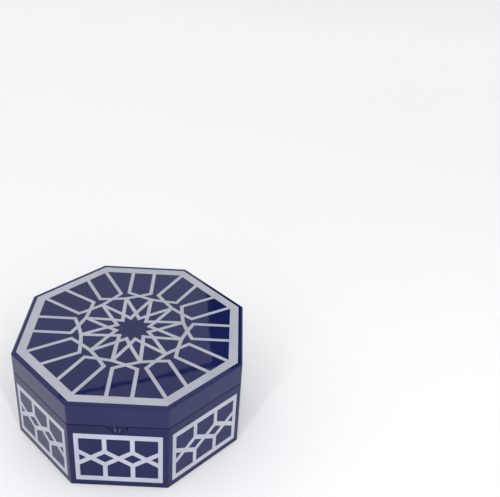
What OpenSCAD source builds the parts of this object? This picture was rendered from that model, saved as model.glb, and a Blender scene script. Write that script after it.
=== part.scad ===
// Octagonal wooden box with a hinged lid and inlaid straps.
// The box stands on z = 0, the thumb scoop faces -Y and the hinge is at +Y.

/* [Box] */
// Width of the box across its flat sides
box_w = 250; // [200:1:320]
// Height of the base from the table to its rim
base_h = 87; // [60:1:120]
// Height of the lid, rim to top
lid_h = 27; // [22:1:40]
// Thickness of the base walls, which is the width of the rim
wall_t = 10; // [8:0.5:14]
// Thickness of the bottom board
bottom_t = 6; // [4:0.5:10]
// Thickness of the board on top of the lid
lid_top_t = 8; // [6:0.5:10]
// Bevel along the upper edge of the lid
top_ease = 1.5; // [0.5:0.1:2.5]
// Bevel along the seam and the foot of the walls
edge_ease = 0.5; // [0.3:0.1:1.2]
// How far each upright corner is planed back
corner_ease = 0.3; // [0.1:0.05:0.6]

/* [Inner lip] */
// Thickness of the strips that line the walls and stand up inside the rim
lip_t = 5; // [3:0.5:7]
// Space left over the lip, under the lining of the shut lid
lip_headroom = 5.5; // [4:0.5:7]
// Gap between the lip and the lid around it
lid_clear = 0.7; // [0.5:0.1:1.2]
// Gap at the seam when the lid is shut
seam_gap = 0.6; // [0.2:0.05:0.6]

/* [Thumb scoop] */
// Width of the scoop in the front wall
scoop_w = 22; // [16:1:28]
// Wood left behind the scoop
scoop_back = 3.5; // [2.5:0.5:5]
// Wood left between the scoop and the inlay under it
scoop_margin = 0.7; // [0.5:0.1:3]

/* [Inlay] */
// Thickness of all the inlaid pieces
inlay_t = 1.2; // [0.8:0.1:2]
// Gap around an inlaid piece in its pocket
inlay_fit = 0.05; // [0.02:0.01:0.1]
// Blue margin beside each side panel
panel_side = 5.8; // [4:0.1:10]
// Blue margin under each side panel
panel_foot = 7.4; // [4:0.1:12]
// Width of the upper and lower bars of a side panel
panel_rail_w = 6.6; // [4:0.1:8]
// Width of the end bars and the upright bars of a side panel
panel_post_w = 4.8; // [3:0.1:6]
// Width of the crossing straps of a side panel
panel_strap_w = 5.4; // [3:0.1:6.5]
// Blue margin around the border of the lid
border_margin = 5.2; // [3.5:0.1:10]
// Width of the border of the lid
border_w = 10; // [6:0.5:14]
// Width of the straps of the star in the lid
star_strap_w = 4.2; // [3:0.1:5]

/* [Linings] */
// Thickness of the gold foil board inside the base
foil_t = 0.4; // [0.3:0.1:1]
// Bare strip of lip above the foil
foil_drop = 1.5; // [1:0.5:6]
// Thickness of the velvet board inside the lid
lining_t = 1.5; // [1:0.1:3]

/* [Hinge and magnets] */
// Length of the hinge along the back
hinge_l = 60; // [40:1:74]
// Thickness of each hinge leaf
leaf_t = 1.2; // [0.8:0.1:1.6]
// Outer radius of the hinge barrel
barrel_r = 2; // [1.7:0.1:2.3]
// Radius of the hinge pin
pin_r = 1; // [0.7:0.05:1.1]
// How far the lid swings open
lid_open = 105; // [95:1:115]
// Radius of each magnet
magnet_r = 2; // [1.5:0.25:3]
// Length of each magnet
magnet_l = 4; // [3:0.5:6]

/* [Hidden] */
side_n = 8;
side_a = 360 / side_n;
half_a = side_a / 2;
flat_r = box_w / 2;
corner_r = flat_r / cos(half_a);
edge_l = 2 * flat_r * tan(half_a);
wall_in = flat_r - wall_t;
lip_in = wall_in - lip_t;
rim_mid = flat_r - wall_t / 2;
round_fn = 48;
cut_over = 1;

// Heights
lid_z = base_h + seam_gap;
top_z = base_h + lid_h;
lid_under_z = top_z - lid_top_t;
lip_h = lid_h - lid_top_t - lining_t - lip_headroom;
lip_top_z = base_h + lip_h;
lid_in = wall_in + lid_clear;

// Side panels
panel_head = scoop_w / 2 + scoop_margin;
panel_w = edge_l - 2 * panel_side;
panel_h = base_h - panel_head - panel_foot;
panel_z = panel_foot + panel_h / 2;
panel_bays = 3;
bay_w = (panel_w - panel_post_w) / panel_bays;
strap_rise = 0.28 * (panel_h / 2);

// Star in the lid
star_n = 12;
star_a = 360 / star_n;
border_out = flat_r - border_margin;
border_in = border_out - border_w;
ray_half = 0.12 * border_in;
ray_end = 0.619 * border_in;
ray_cross = 0.564 * border_in;
node_r = 0.529 * border_in;
petal_r = 0.259 * border_in;
heart_r = 0.172 * border_in;

// Thumb scoop
scoop_depth = wall_t - scoop_back;
scoop_r = ((scoop_w / 2) * (scoop_w / 2) + scoop_depth * scoop_depth) / (2 * scoop_depth);
scoop_y = flat_r - scoop_depth + scoop_r;

// Hinge
pin_fit = 0.05;
barrel_fit = 0.3;
knuckle_gap = 0.3;
knuckle_n = 5;
knuckle_l = hinge_l / knuckle_n;
hinge_y = flat_r - barrel_r;
hinge_z = base_h + seam_gap / 2;
leaf_in = wall_in + 0.4;
leaf_edge = hinge_y - barrel_r - 2 * barrel_fit;
leaf_gap = 0.1;
leaf_fit = 0.05;
bevel_a = (lid_open + 1) / 2;
bevel_out = 4;
screw_n = 3;
screw_pitch = hinge_l * 0.32;
screw_y = (leaf_in + leaf_edge) / 2;
screw_head_r = 0.34 * (leaf_edge - leaf_in);
screw_r = 0.53 * screw_head_r;
screw_head_h = screw_head_r - screw_r;
screw_l = 8;
screw_fit = 0.03;
slot_w = 0.5;
slot_d = 0.35;

// Magnets
magnet_proud = 0.1;
magnet_fit = 0.05;

// Colours
navy = [0.10, 0.11, 0.34];
silver = [0.74, 0.75, 0.84];
gold = [0.80, 0.60, 0.18];
velvet = [0.11, 0.07, 0.08];
nickel = [0.72, 0.72, 0.74];

// Numbers of the sides, counted from the front towards the right
front = 0;
front_right = 1;
right = 2;
back_right = 3;
back = 4;
back_left = 5;
left = 6;
front_left = 7;

function unit(v) = v / norm(v);
function turned(v) = [-v.y, v.x];
function polar(r, a) = [r * cos(a), r * sin(a)];
function octagon(r) = [for (i = [0:side_n - 1]) polar(r / cos(half_a), half_a + i * side_a)];

// The direction across a strap at point i, long enough to make a mitre
function across(p, i) =
    let (last = len(p) - 1,
        before = turned(unit(i > 0 ? p[i] - p[i - 1] : p[1] - p[0])),
        after = turned(unit(i < last ? p[i + 1] - p[i] : p[last] - p[last - 1])))
    (before + after) / (1 + before * after);

// A flat strap of width w along the points p, mitred at each bend
module strap(p, w) {
    last = len(p) - 1;
    polygon(concat([for (i = [0:last]) p[i] + across(p, i) * w / 2],
        [for (i = [last:-1:0]) p[i] - across(p, i) * w / 2]));
}

// A point on the flat side y = -r where the upright corner is planed back
function eased_x(r) = (corner_r - corner_ease - r * cos(half_a)) / sin(half_a);

// One eighth of the box in plan, from the centre out past the front side
module eighth() {
    far_r = flat_r + cut_over;
    mitre = polar(corner_r - corner_ease, half_a - 90);
    polygon([[0, 0], [-mitre.x, mitre.y], [-eased_x(far_r), -far_r],
        [eased_x(far_r), -far_r], mitre]);
}

// A profile drawn in (y, z), run along X and mitred at both ends
module side_bar(profile) {
    intersection() {
        rotate([90, 0, 90]) {
            linear_extrude(box_w, center = true) polygon(profile);
        }
        linear_extrude(top_z) eighth();
    }
}

module side(k) {
    rotate([0, 0, k * side_a]) children();
}

// A drawing in (x, z) laid on the front side, t deep and flush with it
module on_front(t) {
    translate([0, t - flat_r, 0]) {
        rotate([90, 0, 0]) linear_extrude(t) children();
    }
}

// The half of the V groove along the back that is cut from the lid, up = 1, or the base, up = -1
module back_bevel(up) {
    rise = bevel_out * tan(bevel_a);
    translate([0, hinge_y, hinge_z]) {
        rotate([90, 0, 90]) {
            linear_extrude(box_w, center = true) {
                polygon([[0, 0], [bevel_out, up * rise], [bevel_out, -up * rise], [0, -up * rise]]);
            }
        }
    }
}

// Side panels

module panel_drawing(grow) {
    top = (panel_h - panel_rail_w) / 2;
    end = (panel_w - panel_post_w) / 2;
    translate([0, panel_z]) {
        for (flip = [-1, 1]) {
            translate([0, flip * top]) {
                square([panel_w + 2 * grow, panel_rail_w + 2 * grow], center = true);
            }
            translate([flip * end, 0]) {
                square([panel_post_w + 2 * grow, panel_h + 2 * grow], center = true);
            }
            zigzag = [for (i = [0:panel_bays])
                [(i - panel_bays / 2) * bay_w, flip * strap_rise * (i % 2 == 0 ? 1 : -1)]];
            strap(zigzag, panel_strap_w + 2 * grow);
            for (x = [-bay_w / 2, bay_w / 2]) {
                strap([[x, flip * strap_rise], [x, flip * top]], panel_post_w + 2 * grow);
            }
        }
    }
}

module panel(k) {
    color(silver) {
        side(k) on_front(inlay_t) panel_drawing(0);
    }
}

// Base walls

module wall_bar() {
    side_bar([[-flat_r + edge_ease, 0], [-wall_in, 0], [-wall_in, base_h],
        [-flat_r + edge_ease, base_h], [-flat_r, base_h - edge_ease], [-flat_r, edge_ease]]);
}

module panel_pocket() {
    translate([0, -cut_over, 0]) {
        on_front(inlay_t + inlay_fit + cut_over) panel_drawing(inlay_fit);
    }
}

module plain_wall(k) {
    side(k) {
        difference() {
            wall_bar();
            panel_pocket();
        }
    }
}

module magnet_bore(k) {
    side(k) {
        translate([0, -rim_mid, base_h - magnet_l]) {
            cylinder(h = 2 * magnet_l, r = magnet_r + magnet_fit, $fn = round_fn);
        }
    }
}

module wall(k) {
    color(navy) plain_wall(k);
}

module magnet_wall(k) {
    color(navy) {
        difference() {
            plain_wall(k);
            magnet_bore(k);
        }
    }
}

module bevelled_wall(k) {
    color(navy) {
        difference() {
            plain_wall(k);
            back_bevel(-1);
        }
    }
}

module thumb_scoop() {
    translate([0, -scoop_y, base_h]) {
        rotate_extrude($fn = round_fn) {
            intersection() {
                circle(r = scoop_r, $fn = round_fn);
                translate([0, -scoop_r]) square([scoop_r, 2 * scoop_r]);
            }
        }
    }
}

module wall_front() {
    color(navy) {
        difference() {
            plain_wall(front);
            thumb_scoop();
        }
    }
}

module wall_back() {
    color(navy) {
        difference() {
            plain_wall(back);
            back_bevel(-1);
            barrel_room();
            leaf_seat(hinge_z - seam_gap / 2 - leaf_t, leaf_t + cut_over);
            screw_bores(-1);
        }
    }
}

module bottom_board() {
    color(navy) linear_extrude(bottom_t) polygon(octagon(wall_in));
}

module lip(k) {
    color(navy) {
        side(k) {
            side_bar([[-wall_in, bottom_t], [-lip_in, bottom_t], [-lip_in, lip_top_z - edge_ease],
                [-lip_in - edge_ease, lip_top_z], [-wall_in + edge_ease, lip_top_z],
                [-wall_in, lip_top_z - edge_ease]]);
        }
    }
}

// Linings

module floor_foil() {
    color(gold) {
        translate([0, 0, bottom_t]) linear_extrude(foil_t) polygon(octagon(lip_in));
    }
}

module wall_foil() {
    foil_in = lip_in - foil_t;
    foil_foot = bottom_t + foil_t;
    foil_head = lip_top_z - edge_ease - foil_drop;
    color(gold) {
        translate([0, 0, foil_foot]) {
            linear_extrude(foil_head - foil_foot) {
                difference() {
                    polygon(octagon(lip_in));
                    polygon(octagon(foil_in));
                }
            }
        }
    }
}

module lid_lining() {
    color(velvet) {
        translate([0, 0, lid_under_z - lining_t]) linear_extrude(lining_t) polygon(octagon(lid_in));
    }
}

// Lid

module rail_bar() {
    side_bar([[-flat_r + edge_ease, lid_z], [-lid_in, lid_z], [-lid_in, lid_under_z],
        [-flat_r, lid_under_z], [-flat_r, lid_z + edge_ease]]);
}

module rail(k) {
    color(navy) side(k) rail_bar();
}

module lid_magnet_bore(k) {
    side(k) {
        translate([0, -rim_mid, lid_z - magnet_l]) {
            cylinder(h = 2 * magnet_l, r = magnet_r + magnet_fit, $fn = round_fn);
        }
    }
}

module magnet_rail(k) {
    color(navy) {
        difference() {
            side(k) rail_bar();
            lid_magnet_bore(k);
        }
    }
}

module bevelled_rail(k) {
    color(navy) {
        difference() {
            side(k) rail_bar();
            back_bevel(1);
        }
    }
}

module lid_rail_back() {
    color(navy) {
        difference() {
            side(back) rail_bar();
            back_bevel(1);
            barrel_room();
            leaf_seat(lid_z - cut_over, leaf_t + cut_over);
            screw_bores(1);
        }
    }
}

module lid_top_board() {
    color(navy) {
        difference() {
            translate([0, 0, lid_under_z]) {
                linear_extrude(lid_top_t) {
                    intersection() {
                        polygon(octagon(flat_r));
                        rotate(half_a) polygon(octagon(corner_r - corner_ease));
                    }
                }
            }
            for (k = [0:side_n - 1]) {
                side(k) top_edge_cut();
            }
            lid_pocket() {
                polygon_ring(border_out + inlay_fit, border_in - inlay_fit);
                star_drawing(border_in + border_w / 2, inlay_fit);
            }
        }
    }
}

module top_edge_cut() {
    rotate([90, 0, 90]) {
        linear_extrude(box_w, center = true) {
            polygon([[-flat_r - cut_over, top_z - top_ease - cut_over],
                [-flat_r + top_ease + cut_over, top_z + cut_over], [-flat_r - cut_over, top_z + cut_over]]);
        }
    }
}

module lid_pocket() {
    translate([0, 0, top_z - inlay_t - inlay_fit]) {
        linear_extrude(inlay_t + cut_over) children();
    }
}

module polygon_ring(r_out, r_in) {
    difference() {
        polygon(octagon(r_out));
        polygon(octagon(r_in));
    }
}

module lid_border_inlay() {
    color(silver) {
        translate([0, 0, top_z - inlay_t]) linear_extrude(inlay_t) polygon_ring(border_out, border_in);
    }
}

// One strap of the star: in from the border, round the heart and out again three rays on
function star_path() =
    let (way_in = [[flat_r, ray_half], [ray_end, ray_half], [ray_cross, 0],
            polar(node_r, -star_a / 2), polar(petal_r, -star_a)])
    concat(way_in, [polar(heart_r, -1.5 * star_a)],
        [for (i = [len(way_in) - 1:-1:0]) [-way_in[i].y, -way_in[i].x]]);

module star_drawing(edge_r, grow) {
    intersection() {
        polygon(octagon(edge_r));
        for (i = [0:star_n - 1]) {
            rotate(i * star_a) strap(star_path(), star_strap_w + 2 * grow);
        }
    }
}

module lid_star_inlay() {
    color(silver) {
        translate([0, 0, top_z - inlay_t]) {
            linear_extrude(inlay_t) star_drawing(border_in - inlay_fit, 0);
        }
    }
}

// Magnets

module base_magnet(k) {
    color(nickel) {
        side(k) {
            translate([0, -rim_mid, base_h + magnet_proud - magnet_l]) {
                cylinder(h = magnet_l, r = magnet_r, $fn = round_fn);
            }
        }
    }
}

module lid_magnet(k) {
    color(nickel) {
        side(k) {
            translate([0, -rim_mid, lid_z - magnet_proud]) {
                cylinder(h = magnet_l, r = magnet_r, $fn = round_fn);
            }
        }
    }
}

// Hinge

module along_back(r, x, l) {
    translate([x, hinge_y, hinge_z]) rotate([0, 90, 0]) cylinder(h = l, r = r, $fn = round_fn);
}

module barrel_room() {
    along_back(barrel_r + barrel_fit, -hinge_l / 2 - barrel_fit, hinge_l + 2 * barrel_fit);
}

module leaf_seat(z, h) {
    seat_l = hinge_l + 2 * leaf_fit;
    translate([-seat_l / 2, leaf_in - leaf_fit, z]) cube([seat_l, hinge_y - leaf_in + leaf_fit, h]);
}

module leaf(z, h, knuckles) {
    difference() {
        union() {
            translate([-hinge_l / 2, leaf_in, z]) cube([hinge_l, leaf_edge - leaf_in, h]);
            for (i = knuckles) {
                x = -hinge_l / 2 + i * knuckle_l + knuckle_gap / 2;
                l = knuckle_l - knuckle_gap;
                translate([x, leaf_in, z]) cube([l, hinge_y - leaf_in, h]);
                along_back(barrel_r, x, l);
            }
        }
        along_back(pin_r + (len(knuckles) % 2 == 0 ? pin_fit : 0), -hinge_l, 2 * hinge_l);
    }
}

module hinge_leaf_base() {
    color(nickel) {
        difference() {
            leaf(base_h - leaf_t, leaf_t + seam_gap / 2 - leaf_gap, [0, 2, 4]);
            screw_bores(-1);
        }
    }
}

module hinge_leaf_lid() {
    color(nickel) {
        difference() {
            leaf(hinge_z + leaf_gap, leaf_t + seam_gap / 2 - leaf_gap, [1, 3]);
            screw_bores(1);
        }
    }
}

module hinge_pin() {
    color(nickel) along_back(pin_r, -hinge_l / 2, hinge_l);
}

module screw_profile(grow) {
    polygon([[0, 0], [screw_head_r + grow, 0], [screw_r + grow, -screw_head_h],
        [screw_r + grow, -screw_l + screw_r], [0, -screw_l - grow]]);
}

// Screws of one leaf, down into the base for up = -1 or up into the lid for up = 1
module at_screws(up) {
    for (i = [0:screw_n - 1]) {
        translate([(i - (screw_n - 1) / 2) * screw_pitch, screw_y, hinge_z + up * leaf_gap]) {
            rotate([up > 0 ? 180 : 0, 0, 0]) children();
        }
    }
}

module screw_bores(up) {
    at_screws(up) rotate_extrude($fn = round_fn) screw_profile(screw_fit);
}

module screw() {
    difference() {
        rotate_extrude($fn = round_fn) screw_profile(0);
        translate([-screw_head_r, -slot_w / 2, -slot_d]) cube([2 * screw_head_r, slot_w, 2 * slot_d]);
    }
}

module hinge_screws_base() {
    color(nickel) at_screws(-1) screw();
}

module hinge_screws_lid() {
    color(nickel) at_screws(1) screw();
}

// One module for each piece that repeats round the box

module wall_front_right() magnet_wall(front_right);
module wall_right() wall(right);
module wall_back_right() bevelled_wall(back_right);
module wall_back_left() bevelled_wall(back_left);
module wall_left() wall(left);
module wall_front_left() magnet_wall(front_left);

module lip_front() lip(front);
module lip_front_right() lip(front_right);
module lip_right() lip(right);
module lip_back_right() lip(back_right);
module lip_back() lip(back);
module lip_back_left() lip(back_left);
module lip_left() lip(left);
module lip_front_left() lip(front_left);

module inlay_front() panel(front);
module inlay_front_right() panel(front_right);
module inlay_right() panel(right);
module inlay_back_right() panel(back_right);
module inlay_back() panel(back);
module inlay_back_left() panel(back_left);
module inlay_left() panel(left);
module inlay_front_left() panel(front_left);

module lid_rail_front() rail(front);
module lid_rail_front_right() magnet_rail(front_right);
module lid_rail_right() rail(right);
module lid_rail_back_right() bevelled_rail(back_right);
module lid_rail_back_left() bevelled_rail(back_left);
module lid_rail_left() rail(left);
module lid_rail_front_left() magnet_rail(front_left);

module base_magnet_left() base_magnet(front_left);
module base_magnet_right() base_magnet(front_right);
module lid_magnet_left() lid_magnet(front_left);
module lid_magnet_right() lid_magnet(front_right);

bottom_board();
wall_front();
wall_front_right();
wall_right();
wall_back_right();
wall_back();
wall_back_left();
wall_left();
wall_front_left();
lip_front();
lip_front_right();
lip_right();
lip_back_right();
lip_back();
lip_back_left();
lip_left();
lip_front_left();
inlay_front();
inlay_front_right();
inlay_right();
inlay_back_right();
inlay_back();
inlay_back_left();
inlay_left();
inlay_front_left();
floor_foil();
wall_foil();
base_magnet_left();
base_magnet_right();
hinge_leaf_base();
hinge_pin();
hinge_screws_base();
lid_top_board();
lid_rail_front();
lid_rail_front_right();
lid_rail_right();
lid_rail_back_right();
lid_rail_back();
lid_rail_back_left();
lid_rail_left();
lid_rail_front_left();
lid_border_inlay();
lid_star_inlay();
lid_lining();
lid_magnet_left();
lid_magnet_right();
hinge_leaf_lid();
hinge_screws_lid();
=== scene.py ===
import bpy, math
from mathutils import Matrix, Vector


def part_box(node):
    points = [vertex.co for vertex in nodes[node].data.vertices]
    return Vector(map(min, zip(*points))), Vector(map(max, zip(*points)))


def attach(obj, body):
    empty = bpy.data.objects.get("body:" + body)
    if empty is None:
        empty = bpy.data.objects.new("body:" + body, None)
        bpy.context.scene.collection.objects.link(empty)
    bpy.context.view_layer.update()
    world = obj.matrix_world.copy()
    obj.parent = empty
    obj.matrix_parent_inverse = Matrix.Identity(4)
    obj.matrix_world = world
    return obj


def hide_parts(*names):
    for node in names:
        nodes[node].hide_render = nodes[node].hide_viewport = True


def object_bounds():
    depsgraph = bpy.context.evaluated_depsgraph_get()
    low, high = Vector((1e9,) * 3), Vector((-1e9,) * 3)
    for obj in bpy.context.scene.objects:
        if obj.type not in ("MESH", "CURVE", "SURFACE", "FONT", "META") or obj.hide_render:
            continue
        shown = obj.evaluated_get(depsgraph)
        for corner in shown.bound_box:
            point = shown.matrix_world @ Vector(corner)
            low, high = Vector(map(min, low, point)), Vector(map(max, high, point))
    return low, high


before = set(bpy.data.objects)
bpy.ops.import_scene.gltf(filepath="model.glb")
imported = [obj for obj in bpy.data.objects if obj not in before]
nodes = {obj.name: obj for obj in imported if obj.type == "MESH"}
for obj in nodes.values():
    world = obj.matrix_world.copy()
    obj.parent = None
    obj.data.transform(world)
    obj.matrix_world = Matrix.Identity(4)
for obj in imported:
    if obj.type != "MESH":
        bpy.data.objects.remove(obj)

cadLow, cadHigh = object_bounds()
boxWidth = cadHigh.x - cadLow.x
boxHeight = cadHigh.z - cadLow.z
sideNames = ["front", "front_right", "right", "back_right", "back", "back_left", "left", "front_left"]
bpy.context.scene.view_settings.view_transform = "Standard"
print("box is", round(boxWidth * 1000), "mm wide and", round(boxHeight * 1000), "mm high")


class Val:
    # wraps a shader socket, so that sums on sockets make their own Math nodes

    def __init__(self, mat, socket):
        self.mat, self.socket = mat, socket

    def math(self, kind, first, second):
        return self.mat.node("ShaderNodeMath", {"operation": kind}, first, second)

    def __add__(self, other):
        return self.math("ADD", self, other)

    def __radd__(self, other):
        return self.math("ADD", other, self)

    def __sub__(self, other):
        return self.math("SUBTRACT", self, other)

    def __rsub__(self, other):
        return self.math("SUBTRACT", other, self)

    def __mul__(self, other):
        return self.math("MULTIPLY", self, other)

    def __rmul__(self, other):
        return self.math("MULTIPLY", other, self)

    def step(self, start, end):
        # 0 below start, 1 above end, smooth between
        named = {"Value": self, "From Min": start, "From Max": end}
        return self.mat.node("ShaderNodeMapRange", {"interpolation_type": "SMOOTHSTEP"}, **named)


class Finish:
    # one node material; node() makes any node, its settings first and then its inputs

    def __init__(self, name, **shader):
        self.material = bpy.data.materials.new(name)
        self.material.use_nodes = True
        self.tree = self.material.node_tree
        self.shader = self.tree.nodes["Principled BSDF"]
        self.place = self.node("ShaderNodeTexCoord", out="Object")
        self.paint(**shader)

    def node(self, kind, settings=None, *inputs, out=0, **named):
        made = self.tree.nodes.new(kind)
        for key, value in (settings or {}).items():
            setattr(made, key, value)
        for key, value in [*enumerate(inputs), *named.items()]:
            self.feed(made.inputs[key], value)
        return Val(self, made.outputs[out])

    def feed(self, socket, value):
        if isinstance(value, Val):
            self.tree.links.new(value.socket, socket)
        elif socket.type == "RGBA":
            socket.default_value = (*value, 1)
        else:
            socket.default_value = value

    def noise(self, scale, detail=3, rough=0.5, at=None):
        return self.node("ShaderNodeTexNoise", None, Vector=at or self.place, Scale=scale, Detail=detail,
                         Roughness=rough)

    def cells(self, scale, feature="F1", at=None):
        return self.node("ShaderNodeTexVoronoi", {"feature": feature}, Vector=at or self.place, Scale=scale)

    def mix(self, how, a, b):
        made = self.tree.nodes.new("ShaderNodeMix")
        made.data_type = "RGBA"
        for key, value in ((0, how), (6, a), (7, b)):
            self.feed(made.inputs[key], value)
        return Val(self, made.outputs[2])

    def bump(self, height, strength, distance, over=None):
        below = {"Normal": over} if over else {}
        return self.node("ShaderNodeBump", None, Height=height, Strength=strength, Distance=distance, **below)

    def edge(self, radius):
        # 0 on flat ground, rising on edges and corners
        soft = self.node("ShaderNodeBevel", {"samples": 4}, Radius=radius)
        flat = self.node("ShaderNodeNewGeometry", out="Normal")
        return 1 - self.node("ShaderNodeVectorMath", {"operation": "DOT_PRODUCT"}, soft, flat, out="Value")

    def stretched(self, scales):
        return self.node("ShaderNodeMapping", None, Vector=self.place, Scale=scales)

    def paint(self, **sockets):
        for name, value in sockets.items():
            self.feed(self.shader.inputs[name.replace("_", " ")], value)
        return self.material


# painted shade: the side colours are the lid's blues painted darker, for the walls, bottom and lip
lacquer = {"blue": (0.0090, 0.0132, 0.078), "deepBlue": (0.0062, 0.0094, 0.062),
           "shadedSideBlue": (0.0072, 0.0102, 0.068), "shadedSideDeep": (0.0050, 0.0074, 0.054),
           "topPolish": 1.36, "sidePolish": 1.32, "gloss": 0.022,
           "cloudScale": 7, "waveScale": 14, "peelScale": 160, "orangePeel": 0.04, "wiping": (1500, 60, 900),
           "dust": 0.05, "dustShade": (0.30, 0.31, 0.36), "dustScale": 900,
           "rub": 0.10, "rubShade": (0.11, 0.12, 0.22), "rubWidth": 0.0009, "rubScale": 60,
           # the last two entries paint shade into the seam and other tight hollows
           "seam": 0.0060, "paintedSeamShadow": (0.002, 0.002, 0.008)}


def blueLacquer(name, shift, polish, blue, deepBlue):
    # sprayed gloss lacquer: faint orange peel, hairlines from wiping, a little settled dust;
    # shift gives each part clouds of its own
    f = Finish(name, IOR=polish)
    cloud = f.noise(lacquer["cloudScale"] + shift, 4)
    peel = f.noise(lacquer["peelScale"], 2)
    wave = f.noise(lacquer["waveScale"] + shift, 2)
    speck = f.noise(lacquer["dustScale"], 2).step(0.67, 0.78)
    hair = f.noise(1, 3, 0.6, at=f.stretched(lacquer["wiping"])).step(0.62, 0.8)
    worn = f.noise(lacquer["rubScale"] + shift, 4).step(0.42, 0.66)
    rub = f.edge(lacquer["rubWidth"]).step(0.03, 0.16) * worn
    colour = f.mix(cloud.step(0.3, 0.7), lacquer[deepBlue], lacquer[blue])
    colour = f.mix(speck * lacquer["dust"], colour, lacquer["dustShade"])
    colour = f.mix(rub * lacquer["rub"], colour, lacquer["rubShade"])
    # painted shade: the base colour turns nearly black where the surface is hemmed in, along the seam under
    # the lid and in other tight hollows
    seamShadowMask = 1 - f.node("ShaderNodeAmbientOcclusion", {"samples": 6}, Distance=lacquer["seam"], out="AO")
    colour = f.mix(seamShadowMask.step(0.30, 0.60), colour, lacquer["paintedSeamShadow"])
    rough = lacquer["gloss"] + cloud * 0.012 + speck * 0.12 + hair * 0.02 + rub * 0.12
    relief = f.bump(wave, 0.10, 0.0010)
    relief = f.bump(peel + speck * 0.3, lacquer["orangePeel"], 0.0002, relief)
    return f.paint(Base_Color=colour, Roughness=rough, Normal=relief)


inlay = {"silver": (0.43, 0.45, 0.54), "shade": (0.365, 0.38, 0.46),
         # painted shade: the lid's silver is the panel silver painted darker
         "shadedLidSilver": (0.375, 0.392, 0.445), "shadedLidMottle": (0.318, 0.332, 0.38),
         "gloss": 0.30, "grain": 0.18, "fibre": (900, 900, 120), "cloudScale": 26,
         "fleck": 0.25, "fleckShade": (0.60, 0.62, 0.70), "fleckScale": 700}


def silverInlay(name, shift, silver, shade):
    # satin silver-grey sheet under the lacquer, with a soft mottle and a fine fibre
    f = Finish(name, IOR=1.45, Coat_Weight=0.15, Coat_Roughness=0.12)
    cloud = f.noise(inlay["cloudScale"] + shift, 4)
    fibre = f.noise(1, 4, 0.65, at=f.stretched(inlay["fibre"]))
    fleck = f.noise(inlay["fleckScale"], 2).step(0.6, 0.75)
    colour = f.mix(cloud.step(0.25, 0.75), inlay[shade], inlay[silver])
    colour = f.mix(fleck * inlay["fleck"], colour, inlay["fleckShade"])
    rough = inlay["gloss"] + cloud * 0.12 + fibre * 0.05
    return f.paint(Base_Color=colour, Roughness=rough, Normal=f.bump(fibre + cloud, inlay["grain"], 0.0001))


foil = {"gold": (0.70, 0.53, 0.13), "amber": (0.42, 0.27, 0.055), "tarnish": (0.20, 0.12, 0.03),
        "gloss": 0.05, "floorCrinkle": 0.10, "wallCrinkle": 0.40,
        "floorStretch": (30, 30, 30), "wallStretch": (26, 26, 90),
        "creaseScale": 2.2, "warp": 0.35, "fineScale": 9, "puckerScale": 26,
        "blotchScale": 34, "tarnishScale": 600, "polishScale": 90}


def goldFoil(name, crinkle, stretch):
    # mirror-bright gilt paper: fine creases that run with the sheet, over slow puckers
    f = Finish(name, Metallic=1.0)
    along = f.stretched(stretch)
    warp = f.noise(3, 2, at=along)
    bent = f.node("ShaderNodeVectorMath", {"operation": "ADD"}, along, warp * foil["warp"])
    crease = f.cells(foil["creaseScale"], "DISTANCE_TO_EDGE", at=bent)
    fine = f.noise(foil["fineScale"], 4, 0.7, at=along)
    pucker = f.noise(foil["puckerScale"], 3, 0.55)
    height = crease.step(0.0, 0.10) * 0.6 + fine * 0.5 + pucker * 0.8
    blotch = f.noise(foil["blotchScale"], 3).step(0.35, 0.7)
    spots = f.noise(foil["tarnishScale"], 2).step(0.62, 0.8)
    colour = f.mix(spots * 0.35, f.mix(blotch, foil["amber"], foil["gold"]), foil["tarnish"])
    rough = foil["gloss"] + f.noise(foil["polishScale"], 3) * 0.06 + fine * 0.05
    return f.paint(Base_Color=colour, Roughness=rough, Normal=f.bump(height, crinkle, 0.0006))


velvet = {"pile": (0.0075, 0.0030, 0.0036), "worn": (0.0130, 0.0056, 0.0064),
          "hollow": (0.003, 0.0012, 0.0015), "sheen": 0.05, "sheenTint": (0.62, 0.42, 0.40),
          "brushing": (26, 14, 20), "pileScale": 1400, "tuftScale": 1100}


def brownVelvet(name):
    # short pile, brushed in patches
    f = Finish(name, Specular_IOR_Level=0.15, Sheen_Weight=velvet["sheen"], Sheen_Roughness=0.45,
               Sheen_Tint=velvet["sheenTint"])
    brushed = f.noise(1, 4, 0.6, at=f.stretched(velvet["brushing"]))
    pile = f.noise(velvet["pileScale"], 3, 0.7)
    tuft = f.cells(velvet["tuftScale"])
    colour = f.mix(brushed.step(0.35, 0.7), velvet["pile"], velvet["worn"])
    colour = f.mix(pile.step(0.35, 0.75) * 0.5, colour, velvet["hollow"])
    relief = f.bump(brushed, 0.25, 0.0012)
    relief = f.bump(pile + tuft, 0.7, 0.0004, relief)
    return f.paint(Base_Color=colour, Roughness=0.86 + pile * 0.12, Normal=relief)


nickel = {"plate": (0.66, 0.655, 0.64), "worn": (0.52, 0.47, 0.38), "gloss": 0.2,
          "cloudScale": 120, "scuffing": (300, 2600, 2600), "hingeScuff": 0.12, "magnetScuff": 0.04}


def nickelPlate(name, wear):
    # tumbled nickel plate, yellowing a little where it is handled
    f = Finish(name, Metallic=1.0)
    cloud = f.noise(nickel["cloudScale"], 4)
    scuff = f.noise(1, 4, 0.7, at=f.stretched(nickel["scuffing"]))
    colour = f.mix(cloud.step(0.45, 0.8), nickel["plate"], nickel["worn"])
    rough = nickel["gloss"] + cloud * 0.14 + scuff * wear
    return f.paint(Base_Color=colour, Roughness=rough, Normal=f.bump(scuff + cloud, 0.12, 0.00006))


def dress(names, material):
    # gives the named parts one finish
    for name in names:
        mesh = nodes[name].data
        mesh.materials.clear()
        mesh.materials.append(material)


# walls, bottom and lip take the darker side blues, which are painted shade
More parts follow.
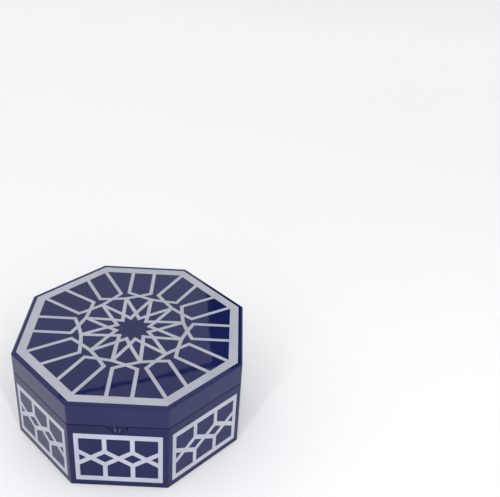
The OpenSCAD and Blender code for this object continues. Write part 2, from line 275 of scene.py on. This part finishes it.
wallLacquer = blueLacquer("Blue lacquer walls", 0, lacquer["sidePolish"], "shadedSideBlue", "shadedSideDeep")
lidLacquer = blueLacquer("Blue lacquer lid", 1.5, lacquer["topPolish"], "blue", "deepBlue")
lipLacquer = blueLacquer("Blue lacquer lip", 3, lacquer["sidePolish"], "shadedSideBlue", "shadedSideDeep")
panelSilver = silverInlay("Silver inlay panels", 0, "silver", "shade")
# the lid's inlay takes the darker silver, which is painted shade
starSilver = silverInlay("Silver inlay star", 4, "shadedLidSilver", "shadedLidMottle")
floorGold = goldFoil("Gold foil floor", foil["floorCrinkle"], foil["floorStretch"])
wallGold = goldFoil("Gold foil walls", foil["wallCrinkle"], foil["wallStretch"])
liningVelvet = brownVelvet("Brown velvet")
hingeNickel = nickelPlate("Nickel hinge", nickel["hingeScuff"])
magnetNickel = nickelPlate("Nickel magnets", nickel["magnetScuff"])

dress(["wall_" + side for side in sideNames] + ["bottom_board"], wallLacquer)
dress(["lip_" + side for side in sideNames], lipLacquer)
dress(["lid_rail_" + side for side in sideNames] + ["lid_top_board"], lidLacquer)
dress(["inlay_" + side for side in sideNames], panelSilver)
dress(["lid_border_inlay", "lid_star_inlay"], starSilver)
dress(["hinge_leaf_base", "hinge_leaf_lid", "hinge_pin"], hingeNickel)
dress(["hinge_screws_base", "hinge_screws_lid"], hingeNickel)
dress(["base_magnet_left", "base_magnet_right", "lid_magnet_left", "lid_magnet_right"], magnetNickel)
print("finishes are on")


def finishPiece(piece, material, body, replaced):
    # sets the piece down at the origin, gives it its finish and hangs it on its part of the box
    piece.data.name = piece.name
    piece.data.materials.clear()
    piece.data.materials.append(material)
    bpy.ops.object.select_all(action="DESELECT")
    piece.select_set(True)
    bpy.context.view_layer.objects.active = piece
    bpy.ops.object.transform_apply(location=True, rotation=True, scale=True)
    bpy.ops.object.shade_smooth_by_angle(angle=math.radians(50))
    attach(piece, body)
    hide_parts(replaced)


def modify(piece, kind, **settings):
    modifier = piece.modifiers.new(kind.title(), kind)
    for key, value in settings.items():
        setattr(modifier, key, value)
    bpy.context.view_layer.objects.active = piece
    bpy.ops.object.modifier_apply(modifier=modifier.name)


def ripple(piece, size, depth, direction, group=""):
    # pushes the surface in and out by a still cloud pattern
    pattern = bpy.data.textures.new(piece.name + " ripple", "CLOUDS")
    pattern.noise_scale, pattern.noise_depth = size, 2
    modify(piece, "DISPLACE", texture=pattern, strength=depth, mid_level=0.5, direction=direction,
           vertex_group=group)


halfAngle = math.pi / 8  # half of the angle that one side spans


def octagonSheet(apothem, height, cuts):
    # a flat sheet with eight equal sides, its flats square to X and Y
    bpy.ops.object.select_all(action="DESELECT")
    bpy.ops.mesh.primitive_circle_add(vertices=8, radius=apothem / math.cos(halfAngle), fill_type="TRIFAN",
                                      location=(0, 0, height), rotation=(0, 0, halfAngle))
    bpy.ops.object.mode_set(mode="EDIT")
    bpy.ops.mesh.subdivide(number_cuts=cuts)
    bpy.ops.object.mode_set(mode="OBJECT")
    return bpy.context.object


lining = {"gap": 0.0003, "thickness": 0.0012, "roll": 0.00045,
          "pucker": 0.0005, "puckerSize": 0.035, "cuts": 34}


def makeLining():
    # velvet wrapped over card and glued into the lid, seen from below when the lid stands open
    low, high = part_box("lid_lining")
    apothem = (high.x - low.x) / 2 - lining["gap"]
    cloth = octagonSheet(apothem, high.z - lining["gap"], lining["cuts"])
    cloth.name = "Velvet_lining"
    modify(cloth, "SOLIDIFY", thickness=lining["thickness"], offset=-1)
    modify(cloth, "BEVEL", width=lining["roll"], segments=3, limit_method="ANGLE",
           angle_limit=math.radians(60))
    facing = cloth.vertex_groups.new(name="facing")
    below = high.z - lining["gap"] - lining["thickness"] * 0.6
    under = [v.index for v in cloth.data.vertices if v.co.z + cloth.location.z < below]
    facing.add(under, 1, "REPLACE")  # only the side that is seen puckers
    ripple(cloth, lining["puckerSize"], lining["pucker"], "Z", "facing")
    finishPiece(cloth, liningVelvet, "lid", "lid_lining")


gilt = {"paper": 0.00025, "gap": 0.0002, "turnUp": 0.0014,
        "floorCrease": 0.00012, "wallCrease": 0.0005, "creaseSize": 0.012, "puckerSize": 0.05,
        "floorCuts": 60, "columns": 22, "rows": 16}


def makeFloorFoil():
    # one sheet of gilt paper laid on the bottom board
    low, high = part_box("floor_foil")
    apothem = (high.x - low.x) / 2 - gilt["wallCrease"] - gilt["paper"] * 2
    paper = octagonSheet(apothem, high.z, gilt["floorCuts"])
    paper.name = "Floor_gilt_paper"
    bpy.ops.object.mode_set(mode="EDIT")
    bpy.ops.mesh.select_all(action="SELECT")
    bpy.ops.mesh.region_to_loop()
    bpy.ops.transform.translate(value=(0, 0, gilt["turnUp"]))  # the cut edge turns up at the walls
    bpy.ops.object.mode_set(mode="OBJECT")
    ripple(paper, gilt["puckerSize"], gilt["floorCrease"], "Z")
    ripple(paper, gilt["creaseSize"], gilt["floorCrease"] * 0.5, "Z")
    finishPiece(paper, floorGold, "base", "floor_foil")


def makeWallFoil():
    # eight strips of gilt paper glued up the inside, puckered between the corners
    low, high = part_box("wall_foil")
    apothem = (high.x - low.x) / 2 - gilt["gap"] - gilt["paper"] - gilt["wallCrease"] * 0.5
    bpy.ops.object.select_all(action="DESELECT")
    bpy.ops.mesh.primitive_circle_add(vertices=8, radius=apothem / math.cos(halfAngle),
                                      location=(0, 0, low.z), rotation=(0, 0, halfAngle))
    paper = bpy.context.object
    paper.name = "Wall_gilt_paper"
    bpy.ops.object.mode_set(mode="EDIT")
    bpy.ops.mesh.select_all(action="SELECT")
    bpy.ops.mesh.subdivide(number_cuts=gilt["columns"])
    rise = (high.z - low.z) / gilt["rows"]
    for row in range(gilt["rows"]):
        bpy.ops.mesh.extrude_edges_move(TRANSFORM_OT_translate={"value": (0, 0, rise)})
    bpy.ops.mesh.select_all(action="SELECT")
    bpy.ops.mesh.normals_make_consistent(inside=True)
    bpy.ops.object.mode_set(mode="OBJECT")
    ripple(paper, gilt["puckerSize"], gilt["wallCrease"], "NORMAL")
    ripple(paper, gilt["creaseSize"], gilt["wallCrease"] * 0.35, "NORMAL")
    modify(paper, "SOLIDIFY", thickness=gilt["paper"], offset=-1)
    finishPiece(paper, wallGold, "base", "wall_foil")


makeLining()
makeFloorFoil()
makeWallFoil()
print("velvet and gilt paper are in")


studio = {"floorSize": 24.0, "floorShade": 0.86, "sky": 1.0, "skyColour": (0.995, 1.0, 1.01, 1)}


def makeFloor():
    # a pale floor wide enough to have no edge in sight
    bpy.ops.object.select_all(action="DESELECT")
    bpy.ops.mesh.primitive_plane_add(size=studio["floorSize"], location=(0, 0, cadLow.z))
    floor = bpy.context.object
    floor.name = "Studio_floor"
    f = Finish("Pale floor")
    shade = studio["floorShade"]
    tone = f.mix(f.noise(3, 2), (shade, shade, shade), (shade * 0.99, shade * 0.99, shade))
    floor.data.materials.append(f.paint(Base_Color=tone, Roughness=0.6 + f.noise(40, 2) * 0.1))


cards = {"shade": 0.008,  # four corners each, far behind the box
         "Studio_flag": [(0.036, 1.5, 0.95), (1.3, 1.5, 0.95), (0.084, 1.5, 1.50), (1.3, 1.5, 1.50)],
         "Studio_boom": [(-0.62, 1.5, 1.715), (0.2, 1.5, 1.425), (-0.62, 1.5, 1.730), (0.2, 1.5, 1.455)]}


def makeCards():
    # black cards out of sight, that only the gloss of the lid mirrors
    f = Finish("Black card")
    dark = cards["shade"]
    tone = f.mix(f.noise(5, 2), (dark, dark, dark * 1.2), (dark * 0.6, dark * 0.6, dark))
    black = f.paint(Base_Color=tone, Roughness=0.9 + f.noise(30, 2) * 0.08)
    for name in ("Studio_flag", "Studio_boom"):
        bpy.ops.object.select_all(action="DESELECT")
        bpy.ops.mesh.primitive_plane_add(size=1)
        card = bpy.context.object
        card.name = name
        for vertex, corner in zip(card.data.vertices, cards[name]):
            vertex.co = corner
        card.data.materials.append(black)


strips = {"aim": (0, 0, 0.05),
          "Left strip": {"place": (-0.75, -1.7, 1.3), "width": 0.09, "height": 1.8, "power": 9},
          "Right strip": {"place": (0.85, -1.65, 1.2), "width": 0.10, "height": 1.6, "power": 12}}


def makeStrip(name):
    # a tall narrow light, for a glint in the thumb scoop
    strip = strips[name]
    light = bpy.data.lights.new(name, "AREA")
    light.shape = "RECTANGLE"
    light.size, light.size_y, light.energy = strip["width"], strip["height"], strip["power"]
    lamp = bpy.data.objects.new(name, light)
    lamp.location = strip["place"]
    toBox = Vector(strips["aim"]) - Vector(strip["place"])
    lamp.rotation_euler = toBox.to_track_quat("-Z", "Y").to_euler()
    bpy.context.scene.collection.objects.link(lamp)


def makeStudio():
    world = bpy.data.worlds.new("Studio")
    bpy.context.scene.world = world
    world.use_nodes = True
    sky = world.node_tree.nodes["Background"]
    sky.inputs["Color"].default_value = studio["skyColour"]
    sky.inputs["Strength"].default_value = studio["sky"]
    makeFloor()
    makeCards()
    makeStrip("Left strip")
    makeStrip("Right strip")


view = {"place": (0.3821, -2.7142, 2.6435), "aim": (0.4169, 0.3561, 0.8435),  # both in box widths
        "sensor": 36, "lens": 54.55, "shift": (0.04, -0.057), "roll": 3.23, "clip": (0.01, 50)}


def makeCamera():
    # seen from the front, a little right of the middle and well above, the box low on the left
    camera = bpy.data.objects.new("Camera", bpy.data.cameras.new("Camera"))
    bpy.context.scene.collection.objects.link(camera)
    camera.data.sensor_width = view["sensor"]
    camera.data.lens = view["lens"]
    camera.data.shift_x, camera.data.shift_y = view["shift"]
    camera.data.clip_start, camera.data.clip_end = view["clip"]
    place, aim = Vector(view["place"]) * boxWidth, Vector(view["aim"]) * boxWidth
    level = (aim - place).to_track_quat("-Z", "Y").to_matrix()
    tilt = Matrix.Rotation(math.radians(view["roll"]), 3, level @ Vector((0, 0, 1)))
    camera.location = place
    camera.rotation_euler = (tilt @ level).to_euler()
    bpy.context.scene.camera = camera


makeStudio()
makeCamera()
print("studio and camera are set")
